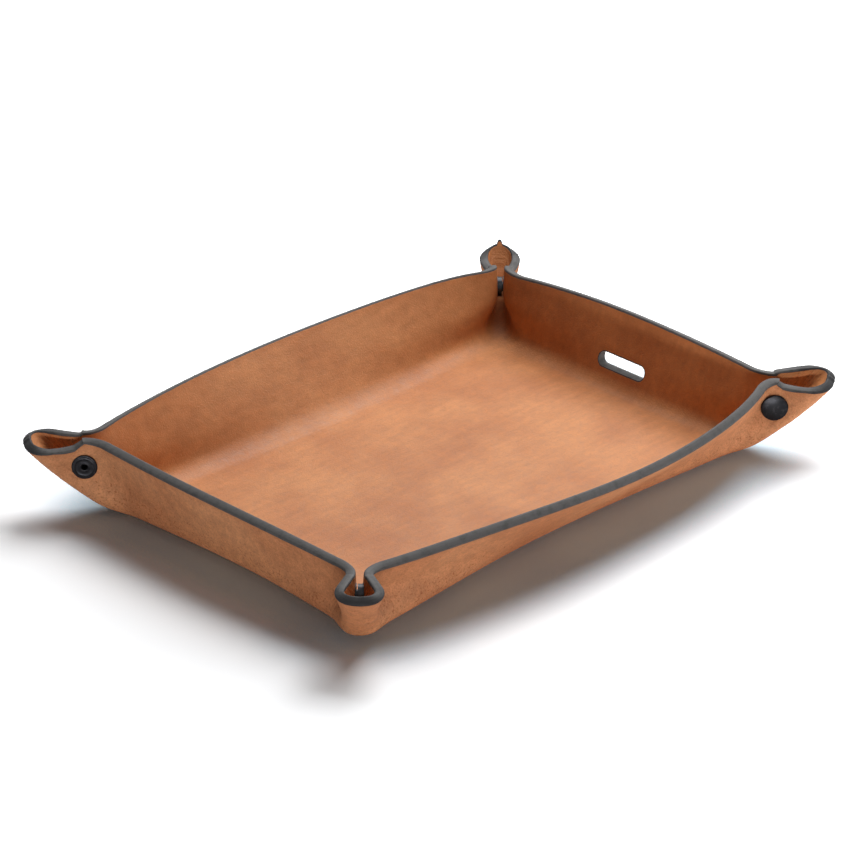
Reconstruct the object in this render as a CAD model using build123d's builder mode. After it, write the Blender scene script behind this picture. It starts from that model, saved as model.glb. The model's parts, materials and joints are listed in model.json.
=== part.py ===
from build123d import *
import math
import os

# Valet tray folded from one sheet of thick leather. The four corners are pinched into open ears
# and each pinch is held by a press stud. X runs along the long side, Y along the short side, Z up,
# and the origin is in the middle of the underside.

# Leather sheet
leather_thickness = 3.8
floor_length = 208.0
floor_width = 124.0
fold_inside_radius = 8.0
fold_split_angle = 25.0
fold_end_angle = 58.0
fold_overlap = 0.6

# Long wall, in the front and at the back
long_rim_reach = 94.2
long_rim_height = 31.0
long_base_reach = 71.6
long_pinch_rate_share = 0.42
long_pinch_start = 1.4

# Short wall, at the left and right
short_rim_reach = 122.8
short_rim_height = 35.5
short_base_reach = 113.6
short_pinch_rate_share = 0.37
short_pinch_start = 2.0

# Pinched corner, measured outward along its diagonal from the crossing of the two fold lines
pinch_gap = 3.2
neck_reach = 14.6
neck_height = 34.0
ear_tip_reach = 38.8
ear_tip_height = 32.7
ear_apex_reach = 6.7
ear_apex_height = 1.9
ear_rim_half_width = 6.7
ear_base_height = 8.0
ear_base_half_width = 4.1
ear_seam_gap = 0.3
ear_seam_foot_gap = 1.0
ear_base_flat_end = 9.5
ear_rim_flat_end = 17.8
ear_fold_radius = 4.6
ear_corner_radius = 3.3
ear_base_corner_radius = 2.4
blank_top_height = 37.0

# Neck crease, where each half of an ear turns on its wall, along the inner face of the leather
crease_foot_reach = 6.1
crease_top_reach = 14.0

# Cable slot
slot_wall_name = "right_wall"
slot_length = 26.0
slot_height = 6.0
slot_centre_height = 14.0

# Press stud, measured along its own axis from the middle of the pinch
stud_reach = 16.0
stud_height = 22.5
stud_seat_radius = 6.2
rivet_hole_radius = 1.9
cap_radius = 5.75
cap_seat_radius = 4.5
cap_dome_height = 1.9
cap_lip_height = 0.5
cap_stem_radius = 1.6
rivet_head_radius = 2.3
rivet_head_thickness = 0.3
socket_flange_radius = 4.6
socket_flange_thickness = 0.5
socket_ring_radius = 4.35
socket_bore_radius = 3.5
socket_mouth_radius = 3.1
socket_lip_thickness = 0.4
socket_depth = 2.3
spring_ring_radius = 3.2
spring_wire_radius = 0.22
spring_opening_angle = 50.0
spring_rest_share = 1.5
stud_flange_radius = 4.6
stud_flange_thickness = 0.5
stud_neck_radius = 2.1
stud_bulb_radius = 2.45
stud_bulb_length = 1.9
stud_bulb_widest_share = 0.7
post_flange_radius = 5.25
post_flange_height = 0.9
post_dish_depth = 0.55
post_dish_radius = 3.9
post_tube_radius = 1.6
post_bore_radius = 1.25
post_throat_share = 1.3
post_tip_height = 0.9
rivet_fit = 0.08

# Flat part of the pinch beyond the stud at three heights, in cap radii
seat_flat_shares = (0.3, 1.0, 0.75)

# Shared overrun of every cut
overrun = 5.0

# Sizes that follow
half_thickness = leather_thickness / 2
fold_outside_radius = fold_inside_radius + leather_thickness
half_floor_length = floor_length / 2
half_floor_width = floor_width / 2
hinge_outreach = fold_outside_radius * math.sin(math.radians(fold_split_angle))
hinge_height = fold_outside_radius * (1 - math.cos(math.radians(fold_split_angle)))
long_hinge_reach = half_floor_width + hinge_outreach
short_hinge_reach = half_floor_length + hinge_outreach
pinch_middle = (pinch_gap + leather_thickness) / 2
pinch_inside = pinch_gap / 2
pinch_outside = pinch_gap / 2 + leather_thickness
ear_lean = (ear_tip_reach - ear_apex_reach) / (ear_tip_height - ear_apex_height)
ear_rise = ear_tip_height - ear_base_height
ear_flare = (ear_rim_half_width - ear_base_half_width) / ear_rise
ear_seam_taper = (ear_seam_gap - ear_seam_foot_gap) / ear_rise
prow_half_thickness = half_thickness * math.hypot(1, ear_lean)
wall_half_thickness = half_thickness / math.sin(math.radians(fold_end_angle))
wall_levels = (
    ear_base_height,
    stud_height - stud_seat_radius,
    stud_height,
    stud_height + stud_seat_radius,
    blank_top_height,
)
flat_end_reaches = (
    ear_base_flat_end,
    stud_reach + cap_radius * seat_flat_shares[0],
    stud_reach + cap_radius * seat_flat_shares[1],
    stud_reach + cap_radius * seat_flat_shares[2],
    ear_rim_flat_end,
)
corner_radii = (
    ear_base_corner_radius,
    ear_base_corner_radius,
    ear_corner_radius,
    ear_corner_radius,
    ear_corner_radius,
)
diagonal = Vector(1, 1).normalized()


def offset_corner(before, corner, after, shift_in, shift_out):
    """Where the two sides of a bent strip meet, each side moved to its left."""
    way_in = (corner - before).normalized()
    way_out = (after - corner).normalized()
    start = corner + Vector(-way_in.Y, way_in.X) * shift_in
    target = corner + Vector(-way_out.Y, way_out.X) * shift_out
    turn = way_in.X * way_out.Y - way_in.Y * way_out.X
    along = ((target - start).X * way_out.Y - (target - start).Y * way_out.X) / turn
    return start + way_in * along


def ear_point(fold_crossing, reach, sideways):
    """A point of the ear in plan, from its distance along and beside the diagonal."""
    return fold_crossing + diagonal * reach + Vector(-diagonal.Y, diagonal.X) * sideways


def strip_side(fold_crossing, level, flat_end, pinch_reach, middle_reach, side):
    """One side of half a wall in plan, from the middle of the wall to the tip of its ear."""
    ear_reach = ear_apex_reach + ear_lean * (level - ear_apex_height)
    ear_half_width = ear_base_half_width + ear_flare * (level - ear_base_height)
    seam = (ear_seam_foot_gap + ear_seam_taper * (level - ear_base_height)) / 2
    pinch = ear_point(fold_crossing, pinch_reach, pinch_middle)
    flat = ear_point(fold_crossing, flat_end, pinch_middle)
    knuckle = ear_point(fold_crossing, ear_reach, ear_half_width)
    tip = ear_point(fold_crossing, ear_reach, seam)
    middle = Vector(0, middle_reach)
    bow_angle = 2 * math.atan2(middle.Y - pinch.Y, pinch.X)
    wall_way = Vector(math.cos(bow_angle), -math.sin(bow_angle))
    thin = half_thickness * side
    wall = wall_half_thickness * side
    prow = prow_half_thickness * side
    end = ear_point(fold_crossing, ear_reach + prow, seam)
    return (
        middle + Vector(0, wall),
        offset_corner(pinch - wall_way, pinch, flat, wall, thin),
        offset_corner(pinch, flat, knuckle, thin, thin),
        offset_corner(flat, knuckle, tip, thin, prow),
        end,
    )


def mirrored(point):
    """The same point at the other end of the wall."""
    return Vector(-point.X, point.Y)


def fold_section(plane, centre_reach, first_angle, last_angle, leg_top=None):
    """Section of the rounded fold between two angles, with a straight leg on up to a height."""
    angles = [math.radians(angle) for angle in (first_angle, (first_angle + last_angle) / 2, last_angle)]
    inner, outer = (
        [
            Vector(centre_reach + radius * math.sin(angle), fold_outside_radius - radius * math.cos(angle))
            for angle in angles
        ]
        for radius in (fold_inside_radius, fold_outside_radius)
    )
    leg_way = Vector(math.cos(angles[2]), math.sin(angles[2]))
    with BuildSketch(plane) as section:
        with BuildLine():
            ThreePointArc(*inner)
            ThreePointArc(*outer)
            Line(inner[0], outer[0])
            if leg_top is None:
                Line(inner[2], outer[2])
            else:
                inner_top, outer_top = (
                    foot + leg_way * ((leg_top - foot.Y) / leg_way.Y) for foot in (inner[2], outer[2])
                )
                Polyline(inner[2], inner_top, outer_top, outer[2])
        make_face()
    return section.sketch


def crease_plane(frame_x, half_run, hinge_reach, end):
    """The plane across the leather along the neck crease at one end of a wall, facing the ear."""
    frame_y = Vector(0, 0, 1).cross(frame_x)
    outward = frame_x * (diagonal.X * end) + frame_y * diagonal.Y
    foot = frame_x * (half_run * end) + frame_y * hinge_reach + outward * crease_foot_reach
    crease_way = outward * (crease_top_reach - crease_foot_reach)
    crease_way += Vector(0, 0, neck_height - ear_apex_height)
    return Plane(
        origin=foot + Vector(0, 0, ear_apex_height),
        z_dir=Vector(0, 0, 1).cross(outward).cross(crease_way),
    )


def build_wall(frame_x, half_run, hinge_reach, base_reach, rim_reach, rim_height, pinch_start, pinch_rate):
    """A wall with half an ear at each end, hinged along the fold line at its foot."""
    fold_crossing = Vector(half_run, hinge_reach)
    wall_lean = (rim_reach - base_reach) / (rim_height - ear_base_height)
    fold_plane = Plane(origin=(0, 0, 0), x_dir=Vector(0, 0, 1).cross(frame_x), z_dir=frame_x)
    with BuildPart() as wall:
        foot_section = fold_section(
            fold_plane,
            hinge_reach - hinge_outreach,
            fold_split_angle,
            fold_end_angle,
            ear_base_height + fold_overlap,
        )
        extrude(foot_section, amount=half_run - hinge_outreach, both=True)
        for level, flat_end, corner_radius in zip(wall_levels, flat_end_reaches, corner_radii):
            rise = level - ear_base_height
            pinch_reach = pinch_start + pinch_rate * rise
            middle_reach = base_reach + wall_lean * rise
            outside, inside = (
                strip_side(fold_crossing, level, flat_end, pinch_reach, middle_reach, side)
                for side in (1, -1)
            )
            with BuildSketch(Plane(origin=(0, 0, level), x_dir=frame_x, z_dir=(0, 0, 1))) as section:
                with BuildLine():
                    ThreePointArc(mirrored(outside[1]), outside[0], outside[1])
                    Polyline(*outside[1:], *reversed(inside[1:]))
                    ThreePointArc(inside[1], inside[0], mirrored(inside[1]))
                    Polyline(*[mirrored(point) for point in (*inside[1:], *reversed(outside[1:]))])
                make_face()
                for point, radius in (
                    (outside[1], ear_fold_radius - half_thickness),
                    (inside[1], ear_fold_radius + half_thickness),
                    (outside[3], corner_radius + half_thickness),
                    (inside[3], corner_radius - half_thickness),
                ):
                    for place in (point, mirrored(point)):
                        fillet(section.vertices().sort_by_distance(place)[0], radius=radius)
        loft(ruled=True)
        neck_run = half_run + neck_reach * diagonal.X
        tip_run = half_run + (ear_tip_reach + leather_thickness + overrun) * diagonal.X
        sky = blank_top_height + overrun
        with BuildSketch(Plane(origin=(0, 0, 0), x_dir=frame_x, z_dir=frame_x.cross(Vector(0, 0, 1)))):
            with BuildLine():
                ThreePointArc((-neck_run, neck_height), (0, rim_height), (neck_run, neck_height))
                Polyline(
                    (neck_run, neck_height),
                    (tip_run, ear_tip_height),
                    (tip_run, sky),
                    (-tip_run, sky),
                    (-tip_run, ear_tip_height),
                    (-neck_run, neck_height),
                )
            make_face()
        extrude(amount=-(rim_reach + half_run), mode=Mode.SUBTRACT)
        for end in (1, -1):
            hole_centre = ear_point(fold_crossing, stud_reach, pinch_middle)
            across = Vector(-diagonal.X * end, diagonal.Y)
            frame_y = Vector(0, 0, 1).cross(frame_x)
            place = frame_x * (hole_centre.X * end) + frame_y * hole_centre.Y
            with BuildSketch(
                Plane(
                    origin=(place.X, place.Y, stud_height),
                    x_dir=(0, 0, 1),
                    z_dir=frame_x * across.X + frame_y * across.Y,
                )
            ):
                Circle(rivet_hole_radius)
            extrude(amount=leather_thickness, both=True, mode=Mode.SUBTRACT)
    return wall


os.makedirs("parts", exist_ok=True)

# Floor with the first half of each fold turned up round its edge
with BuildPart() as floor_panel:
    with BuildSketch():
        Rectangle(floor_length, floor_width)
    extrude(amount=leather_thickness)
    for run, reach, turn in (
        (floor_length, half_floor_width, 0),
        (floor_width, half_floor_length, 90),
        (floor_length, half_floor_width, 180),
        (floor_width, half_floor_length, 270),
    ):
        along = Vector(1, 0).rotate(Axis.Z, turn)
        outward = Vector(0, 1).rotate(Axis.Z, turn)
        edge = outward * reach
        corner = edge + along * (run / 2)
        lip = fold_section(Plane(origin=edge, x_dir=outward, z_dir=along), 0, 0, fold_split_angle)
        extrude(lip, amount=run / 2, both=True)
        lip_end = fold_section(Plane(origin=corner, x_dir=outward, z_dir=along), 0, 0, fold_split_angle)
        revolve(lip_end, axis=Axis(corner, (0, 0, -1)), revolution_arc=90)

floor_panel.part.label = "floor_panel"
export_step(floor_panel.part, "parts/floor_panel.step")

# Front and back walls on the long sides, left and right walls on the short sides. At each end a
# wall carries its half of the ear, which turns on it along the neck crease.
long_wall_sizes = (
    short_hinge_reach,
    long_hinge_reach,
    long_base_reach,
    long_rim_reach,
    long_rim_height,
    long_pinch_start,
    long_pinch_rate_share,
)
short_wall_sizes = (
    long_hinge_reach,
    short_hinge_reach,
    short_base_reach,
    short_rim_reach,
    short_rim_height,
    short_pinch_start,
    short_pinch_rate_share,
)
walls = {
    "front_wall": (Vector(-1, 0, 0), long_wall_sizes, {"left": 1, "right": -1}),
    "back_wall": (Vector(1, 0, 0), long_wall_sizes, {"right": 1, "left": -1}),
    "left_wall": (Vector(0, 1, 0), short_wall_sizes, {"back": 1, "front": -1}),
    "right_wall": (Vector(0, -1, 0), short_wall_sizes, {"front": 1, "back": -1}),
}
for wall_name, (frame_x, wall_sizes, ends) in walls.items():
    whole_wall = build_wall(frame_x, *wall_sizes)
    creases = {end_name: crease_plane(frame_x, *wall_sizes[:2], end) for end_name, end in ends.items()}

    with BuildPart() as wall:
        add(whole_wall.part)
        for crease in creases.values():
            split(bisect_by=crease, keep=Keep.BOTTOM)
        if wall_name == slot_wall_name:
            with BuildSketch(Plane.YZ.offset(half_floor_length)):
                with Locations((0, slot_centre_height)):
                    SlotOverall(slot_length, slot_height)
            extrude(amount=short_rim_reach - half_floor_length + overrun, mode=Mode.SUBTRACT)

    wall.part.label = wall_name
    export_step(wall.part, f"parts/{wall_name}.step")

    for end_name, crease in creases.items():
        with BuildPart() as ear_half:
            add(whole_wall.part)
            split(bisect_by=crease, keep=Keep.TOP)

        ear_half.part.label = f"{wall_name}_{end_name}_ear"
        export_step(ear_half.part, f"parts/{wall_name}_{end_name}_ear.step")

# A press stud in each corner, its axis across the pinch: cap, socket and spring in the long wall,
# stud and hollow post in the short wall
corners = {"front_left": (-1, -1), "front_right": (1, -1), "back_right": (1, 1), "back_left": (-1, 1)}
socket_end = pinch_inside - socket_depth
bulb_start = stud_flange_thickness - pinch_inside
post_face = -pinch_outside - post_flange_height
dome_rise = cap_dome_height - cap_lip_height
dome_radius = (cap_radius**2 + dome_rise**2) / (2 * dome_rise)
dome_drop = dome_radius - math.sqrt(dome_radius**2 - (cap_radius / 2) ** 2)
for corner_name, (side_x, side_y) in corners.items():
    outward = Vector(side_x, side_y).normalized()
    across = Vector(-side_x, side_y).normalized()
    crossing = Vector(side_x * short_hinge_reach, side_y * long_hinge_reach)
    centre = crossing + outward * stud_reach + Vector(0, 0, stud_height)
    stud_axis = Axis(centre, across)
    stud_plane = Plane(origin=centre, x_dir=outward, z_dir=outward.cross(across))

    with BuildPart() as snap_cap:
        with BuildSketch(stud_plane):
            with BuildLine():
                Polyline(
                    (0, pinch_outside + cap_dome_height),
                    (0, pinch_inside - socket_flange_thickness - rivet_head_thickness),
                    (rivet_head_radius, pinch_inside - socket_flange_thickness - rivet_head_thickness),
                    (rivet_head_radius, pinch_inside - socket_flange_thickness),
                    (cap_stem_radius, pinch_inside - socket_flange_thickness),
                    (cap_stem_radius, pinch_outside),
                    (cap_seat_radius, pinch_outside),
                    (cap_radius, pinch_outside + cap_lip_height),
                )
                ThreePointArc(
                    (cap_radius, pinch_outside + cap_lip_height),
                    (cap_radius / 2, pinch_outside + cap_dome_height - dome_drop),
                    (0, pinch_outside + cap_dome_height),
                )
            make_face()
        revolve(axis=stud_axis)

    snap_cap.part.label = f"snap_cap_{corner_name}"
    export_step(snap_cap.part, f"parts/snap_cap_{corner_name}.step")

    with BuildPart() as snap_socket:
        with BuildSketch(stud_plane):
            with BuildLine():
                Polyline(
                    (cap_stem_radius + rivet_fit, pinch_inside),
                    (socket_flange_radius, pinch_inside),
                    (socket_flange_radius, pinch_inside - socket_flange_thickness),
                    (socket_ring_radius, pinch_inside - socket_flange_thickness),
                    (socket_ring_radius, socket_end),
                    (socket_mouth_radius, socket_end),
                    (socket_mouth_radius, socket_end + socket_lip_thickness),
                    (socket_bore_radius, socket_end + socket_lip_thickness),
                    (socket_bore_radius, pinch_inside - socket_flange_thickness),
                    (cap_stem_radius + rivet_fit, pinch_inside - socket_flange_thickness),
                    close=True,
                )
            make_face()
        revolve(axis=stud_axis)

    snap_socket.part.label = f"snap_socket_{corner_name}"
    export_step(snap_socket.part, f"parts/snap_socket_{corner_name}.step")

    with BuildPart() as snap_spring:
        with BuildSketch(stud_plane):
            with Locations((spring_ring_radius, socket_end + socket_lip_thickness + spring_wire_radius * spring_rest_share)):
                Circle(spring_wire_radius)
        revolve(axis=stud_axis, revolution_arc=360 - spring_opening_angle)

    snap_spring.part.label = f"snap_spring_{corner_name}"
    export_step(snap_spring.part, f"parts/snap_spring_{corner_name}.step")

    with BuildPart() as snap_stud:
        with BuildSketch(stud_plane):
            with BuildLine():
                Polyline(
                    (post_tube_radius + rivet_fit, -pinch_inside),
                    (stud_flange_radius, -pinch_inside),
                    (stud_flange_radius, bulb_start),
                    (stud_neck_radius, bulb_start),
                    (stud_neck_radius, bulb_start + stud_bulb_length / 2),
                    (stud_bulb_radius, bulb_start + stud_bulb_length * stud_bulb_widest_share),
                    (stud_neck_radius, bulb_start + stud_bulb_length),
                    (post_tube_radius + rivet_fit, bulb_start + stud_bulb_length),
                    close=True,
                )
            make_face()
        revolve(axis=stud_axis)

    snap_stud.part.label = f"snap_stud_{corner_name}"
    export_step(snap_stud.part, f"parts/snap_stud_{corner_name}.step")

    with BuildPart() as snap_post:
        with BuildSketch(stud_plane):
            with BuildLine():
                Polyline(
                    (post_bore_radius, post_tip_height - pinch_inside),
                    (post_tube_radius, post_tip_height - pinch_inside),
                    (post_tube_radius, -pinch_outside),
                    (cap_seat_radius, -pinch_outside),
                    (post_flange_radius, -pinch_outside - post_flange_height / 2),
                    (cap_seat_radius, post_face),
                    (post_dish_radius, post_face),
                    (post_bore_radius * post_throat_share, post_face + post_dish_depth),
                    (post_bore_radius, post_face + post_dish_depth * post_throat_share),
                    close=True,
                )
            make_face()
        revolve(axis=stud_axis)

    snap_post.part.label = f"snap_post_{corner_name}"
    export_step(snap_post.part, f"parts/snap_post_{corner_name}.step")
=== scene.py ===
import json
import logging
import math
from dataclasses import dataclass, replace
from enum import Enum

import bmesh
import bpy
import numpy as np
from mathutils import Matrix, Vector


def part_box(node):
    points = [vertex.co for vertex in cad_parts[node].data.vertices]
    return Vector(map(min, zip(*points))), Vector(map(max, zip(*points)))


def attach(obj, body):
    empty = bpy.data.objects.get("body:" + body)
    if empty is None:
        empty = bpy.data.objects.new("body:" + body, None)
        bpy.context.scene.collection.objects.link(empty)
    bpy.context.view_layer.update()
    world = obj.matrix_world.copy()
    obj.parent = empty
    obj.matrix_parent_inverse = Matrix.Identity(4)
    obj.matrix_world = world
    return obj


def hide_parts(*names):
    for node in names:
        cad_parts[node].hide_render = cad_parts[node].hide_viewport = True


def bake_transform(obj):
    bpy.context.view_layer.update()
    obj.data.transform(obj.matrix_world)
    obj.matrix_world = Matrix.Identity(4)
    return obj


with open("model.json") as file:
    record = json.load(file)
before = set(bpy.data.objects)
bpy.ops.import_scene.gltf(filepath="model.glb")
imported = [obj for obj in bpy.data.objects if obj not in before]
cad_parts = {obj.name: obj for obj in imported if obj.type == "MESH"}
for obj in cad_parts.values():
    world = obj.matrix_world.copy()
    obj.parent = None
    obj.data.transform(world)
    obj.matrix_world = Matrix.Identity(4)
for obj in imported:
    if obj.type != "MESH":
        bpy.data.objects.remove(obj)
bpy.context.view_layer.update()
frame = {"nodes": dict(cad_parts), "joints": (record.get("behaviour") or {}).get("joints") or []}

log = logging.getLogger("valet_tray")

# Sizes are in millimetres, and each mesh is turned to metres when it is made
MILLIMETRE = 0.001
THICKNESS = 3.8
HALF_THICKNESS = THICKNESS / 2
FLOOR_MIDDLE = HALF_THICKNESS
FOOT_LEVEL = 8.0
FOOT_DROP = FOOT_LEVEL - FLOOR_MIDDLE
STUD_REACH = 16.0
STUD_LEVEL = 22.5
FAR_FROM_EDGE = 60.0
SAME_PLACE = 1e-6
DIAGONAL = complex(1, 1) / abs(complex(1, 1))
CURVE_HANDLE = 0.6
LEATHER_SHARP = math.radians(40)
METAL_SHARP = math.radians(32)


class Wall(Enum):
    """The four walls, each with the way it faces in plan."""

    FRONT = (0, -1)
    BACK = (0, 1)
    LEFT = (-1, 0)
    RIGHT = (1, 0)

    @property
    def is_long(self) -> bool:
        """Whether the wall runs along the tray's long side."""
        return self.value[0] == 0

    @property
    def body(self) -> str:
        """The body of the frame that the wall moves with."""
        return f"{self.name.lower()}_side"

    @property
    def fold(self) -> str:
        """The joint of the frame that the wall turns about."""
        return f"{self.name.lower()}_fold"


class Corner(Enum):
    """The four corners, each with its side in X and in Y."""

    FRONT_LEFT = (-1, -1)
    FRONT_RIGHT = (1, -1)
    BACK_RIGHT = (1, 1)
    BACK_LEFT = (-1, 1)

    def end_of(self, wall: Wall) -> str:
        """The name of the end of a wall that lies at this corner."""
        side_x, side_y = self.value
        if wall.is_long:
            return "right" if side_x > 0 else "left"
        return "back" if side_y > 0 else "front"

    def ear_body(self, wall: Wall) -> str:
        """The body of the frame that a wall's ear half moves with at this corner."""
        return f"{wall.body}_{self.end_of(wall)}_ear"

    def touches(self, wall: Wall) -> bool:
        """Whether the wall ends at this corner."""
        return any(a == b != 0 for a, b in zip(self.value, wall.value))


def smooth_step(value: np.ndarray) -> np.ndarray:
    """Eases shares of the way, from 0 before the start to 1 after the end."""
    share = np.clip(value, 0, 1)
    return share * share * (3 - 2 * share)


def between(pair: tuple, share: np.ndarray) -> np.ndarray:
    """Values at shares of the way from the first of a pair to the second."""
    return pair[0] + (pair[1] - pair[0]) * share


def unit(way: np.ndarray) -> np.ndarray:
    """Complex directions brought to length one."""
    return way / np.abs(way)


def cubic(start: object, first: object, second: object, end: object, share: np.ndarray) -> np.ndarray:
    """Points at shares of the way along a cubic curve with two handles."""
    rest = 1 - share
    return rest**3 * start + 3 * rest**2 * share * first + 3 * rest * share**2 * second + share**3 * end


def bend(start: tuple, end: tuple, share: np.ndarray) -> np.ndarray:
    """A cubic bend between two points, each given with its way and the length of its leg."""
    (place, way, leg), (end_place, end_way, end_leg) = start, end
    first = place + way * leg * CURVE_HANDLE
    second = end_place - end_way * end_leg * CURVE_HANDLE
    return cubic(place, first, second, end_place, share)


@dataclass(frozen=True)
class WallSizes:
    """Sizes of half a wall, from its middle to the neck, the last two read from the frame."""

    foot_reach: float
    rim_reach: float
    rim_height: float
    pinch_start: float
    pinch_rate: float
    floor_leg: float
    foot_bow: float
    half_run: float = 0.0
    hinge_reach: float = 0.0

    @property
    def crossing(self) -> complex:
        """Where the fold line meets that of the next wall, in plan."""
        return complex(self.half_run, self.hinge_reach)

    @property
    def lean(self) -> float:
        """How far the middle of the wall leans out for each millimetre up."""
        return (self.rim_reach - self.foot_reach) / (self.rim_height - FOOT_LEVEL)


@dataclass(frozen=True)
class CornerShape:
    """How one corner stands: rim heights, how its foot flares and how far its ear reaches."""

    neck: float
    long_strip: float
    short_strip: float
    tip: float
    long_flare: float = 3.0
    short_flare: float = 3.0
    foot_reach: float = 13.0
    prow_sag: float = 0.0113
    tip_reach: float = 38.8
    long_sway: float = 0.0
    late_bow: float = 0.34


@dataclass(frozen=True)
class EarSizes:
    """Sizes of every ear half along and beside the corner's diagonal, a pair at its foot and its rim."""

    lift: float = 24.7
    pinch_side: tuple = (2.9, 2.75)
    seat_side: tuple = (3.5, 3.9)
    knuckle_side: tuple = (4.1, 10.0)
    neck_leg: tuple = (3.6, 5.2)
    seat_leg: tuple = (1.0, 0.9)
    knuckle_leg: tuple = (3.6, 8.6)
    neck_run: float = 8.0
    open_pinch_side: float = 9.5
    open_seat_side: float = 6.7
    open_seat_share: float = 0.52
    closing_rise: float = 13.0
    seat_level: float = 22.5
    seat_end: float = 20.8
    seat_fade_above: float = 0.0264
    seat_fade_below: float = 0.0633
    bulge: float = 1.6
    longest_strip_leg: float = 0.94
    longest_prow_leg: float = 0.86
    floor_back: float = 9.8
    floor_side: float = 2.5
    floor_tip: float = 8.0


@dataclass(frozen=True)
class HalfWall:
    """The middle surface of the leather from the middle of a wall to the tip of its ear.

    A station runs from 0 at the middle of the wall to 7 at the tip: wall, neck bend, flat seat, seat
    bend, strip, knuckle and prow, one unit each. A row runs from 0 at the floor over 1 at the foot
    level to 2 at the top of the face.
    """

    TIP = 7.0
    EDGE_DEPTH = 1.0
    SWAY_DROP = 0.9
    LATE_POWER = 9
    STRIP_START, STRIP_RUN = 2.0, 2.6
    TIP_START, TIP_RUN = 4.6, 2.2
    LOWEST_ROW = -0.1
    STEP = 1e-4
    LEVEL_STEP = 0.01

    sizes: WallSizes
    ear: EarSizes
    corner: Corner
    wall: Wall
    shape: CornerShape

    @property
    def sway(self) -> float:
        """How far the front wall's rim sways out between its middle and the neck."""
        return self.shape.long_sway if self.wall is Wall.FRONT else 0.0

    @property
    def open_pinch(self) -> complex:
        """The neck's place beside the diagonal at the foot, where the flared wall meets the ear."""
        sizes, side = self.sizes, self.ear.open_pinch_side
        flare = self.shape.long_flare if self.wall.is_long else self.shape.short_flare
        out = sizes.foot_reach - sizes.foot_bow + flare - sizes.hinge_reach
        return complex(out / DIAGONAL.imag - side, side)

    @property
    def tip_slope(self) -> float:
        """How far the prow leans out at the foot for each millimetre up."""
        shape, lift = self.shape, self.ear.lift
        return (shape.tip_reach - shape.foot_reach) / lift + shape.prow_sag * lift

    def beside(self, place: np.ndarray) -> np.ndarray:
        """Places along and beside the corner's diagonal, turned to the wall's plan."""
        return self.sizes.crossing + DIAGONAL * place

    def plan(self, station: np.ndarray, level: np.ndarray) -> np.ndarray:
        """The plan curve of the leather at a level.

        Args:
            station: Stations along the wall.
            level: Heights above the table.

        Returns:
            Complex numbers, along the wall and out from the tray's middle.
        """
        sizes, ear, shape = self.sizes, self.ear, self.shape
        rise = level - FOOT_LEVEL
        lift = rise / ear.lift
        ease = smooth_step(lift)
        opened = 1 - smooth_step(rise / ear.closing_rise)
        tip_reach = shape.foot_reach + self.tip_slope * rise - shape.prow_sag * rise**2
        pinch = sizes.pinch_start + sizes.pinch_rate * rise + 1j * between(ear.pinch_side, ease)
        open_pinch = self.open_pinch + sizes.pinch_rate * rise
        over = level - ear.seat_level
        fade = np.where(over > 0, ear.seat_fade_above, ear.seat_fade_below)
        seat = ear.seat_end - fade * over**2 + 1j * between(ear.seat_side, ease)
        open_reach = open_pinch.real + (tip_reach - open_pinch.real) * ear.open_seat_share
        pinch = self.beside(pinch + (open_pinch - pinch) * opened)
        seat = self.beside(seat + (open_reach + 1j * ear.open_seat_side - seat) * opened)
        knuckle_side = between(ear.knuckle_side, lift)
        bulge = ear.bulge * level / (FOOT_LEVEL + ear.lift)
        knuckle = self.beside(tip_reach - bulge + 1j * knuckle_side)
        neck_leg, seat_leg = between(ear.neck_leg, lift), between(ear.seat_leg, lift)
        knuckle_leg = between(ear.knuckle_leg, lift)

        middle = sizes.foot_reach + sizes.lean * rise
        drop = middle - pinch.imag
        late = (shape.late_bow if self.wall.is_long else 0.0) * ease
        sway = self.sway * ease
        power = self.LATE_POWER

        def wall_at(share: np.ndarray) -> np.ndarray:
            """The bowed wall at a share of the way to the pinch."""
            bow = (1 - late) * share**2 * (1 + opened * (1 - share**2) / 2) + late * share**power
            return share * pinch.real + 1j * (middle - drop * bow + sway * np.sin(math.pi * share))

        neck_share = 1 - ear.neck_run / pinch.real
        early = 2 * neck_share + opened * neck_share * (1 - 2 * neck_share**2)
        slope = (1 - late) * early + late * power * neck_share ** (power - 1)
        neck_way = unit(pinch.real - 1j * (drop * slope - sway * math.pi * np.cos(math.pi * neck_share)))
        seat_way = unit(seat - pinch)
        neck_end = pinch + seat_way * neck_leg
        strip_way = unit(knuckle - seat)
        seat_stop = seat - seat_way * seat_leg
        strip_start = seat + strip_way * seat_leg
        strip_leg = np.minimum(knuckle_leg, (np.abs(knuckle - seat) - seat_leg) * ear.longest_strip_leg)
        knuckle_start = knuckle - strip_way * strip_leg
        prow_side = knuckle_side - np.minimum(knuckle_leg, knuckle_side * ear.longest_prow_leg)

        def prow_at(side: np.ndarray) -> np.ndarray:
            """The bowed prow at a distance beside the diagonal."""
            return self.beside(tip_reach - bulge * (side / knuckle_side) ** 2 + 1j * side)

        prow_way = unit(DIAGONAL * (2 * bulge * prow_side / knuckle_side**2 - 1j))
        prow = (prow_at(prow_side), prow_way, knuckle_side - prow_side)

        share = station - np.floor(np.clip(station, 0, self.TIP - 1))
        parts = (
            wall_at(neck_share * share),
            bend((wall_at(neck_share), neck_way, ear.neck_run), (neck_end, seat_way, neck_leg), share),
            neck_end + (seat_stop - neck_end) * share,
            bend((seat_stop, seat_way, seat_leg), (strip_start, strip_way, seat_leg), share),
            strip_start + (knuckle_start - strip_start) * share,
            bend((knuckle_start, strip_way, strip_leg), prow, share),
            prow_at(prow_side * (1 - share)),
        )
        segment = np.clip(np.floor(station), 0, self.TIP - 1).astype(int)
        return np.choose(segment, parts)

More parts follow.
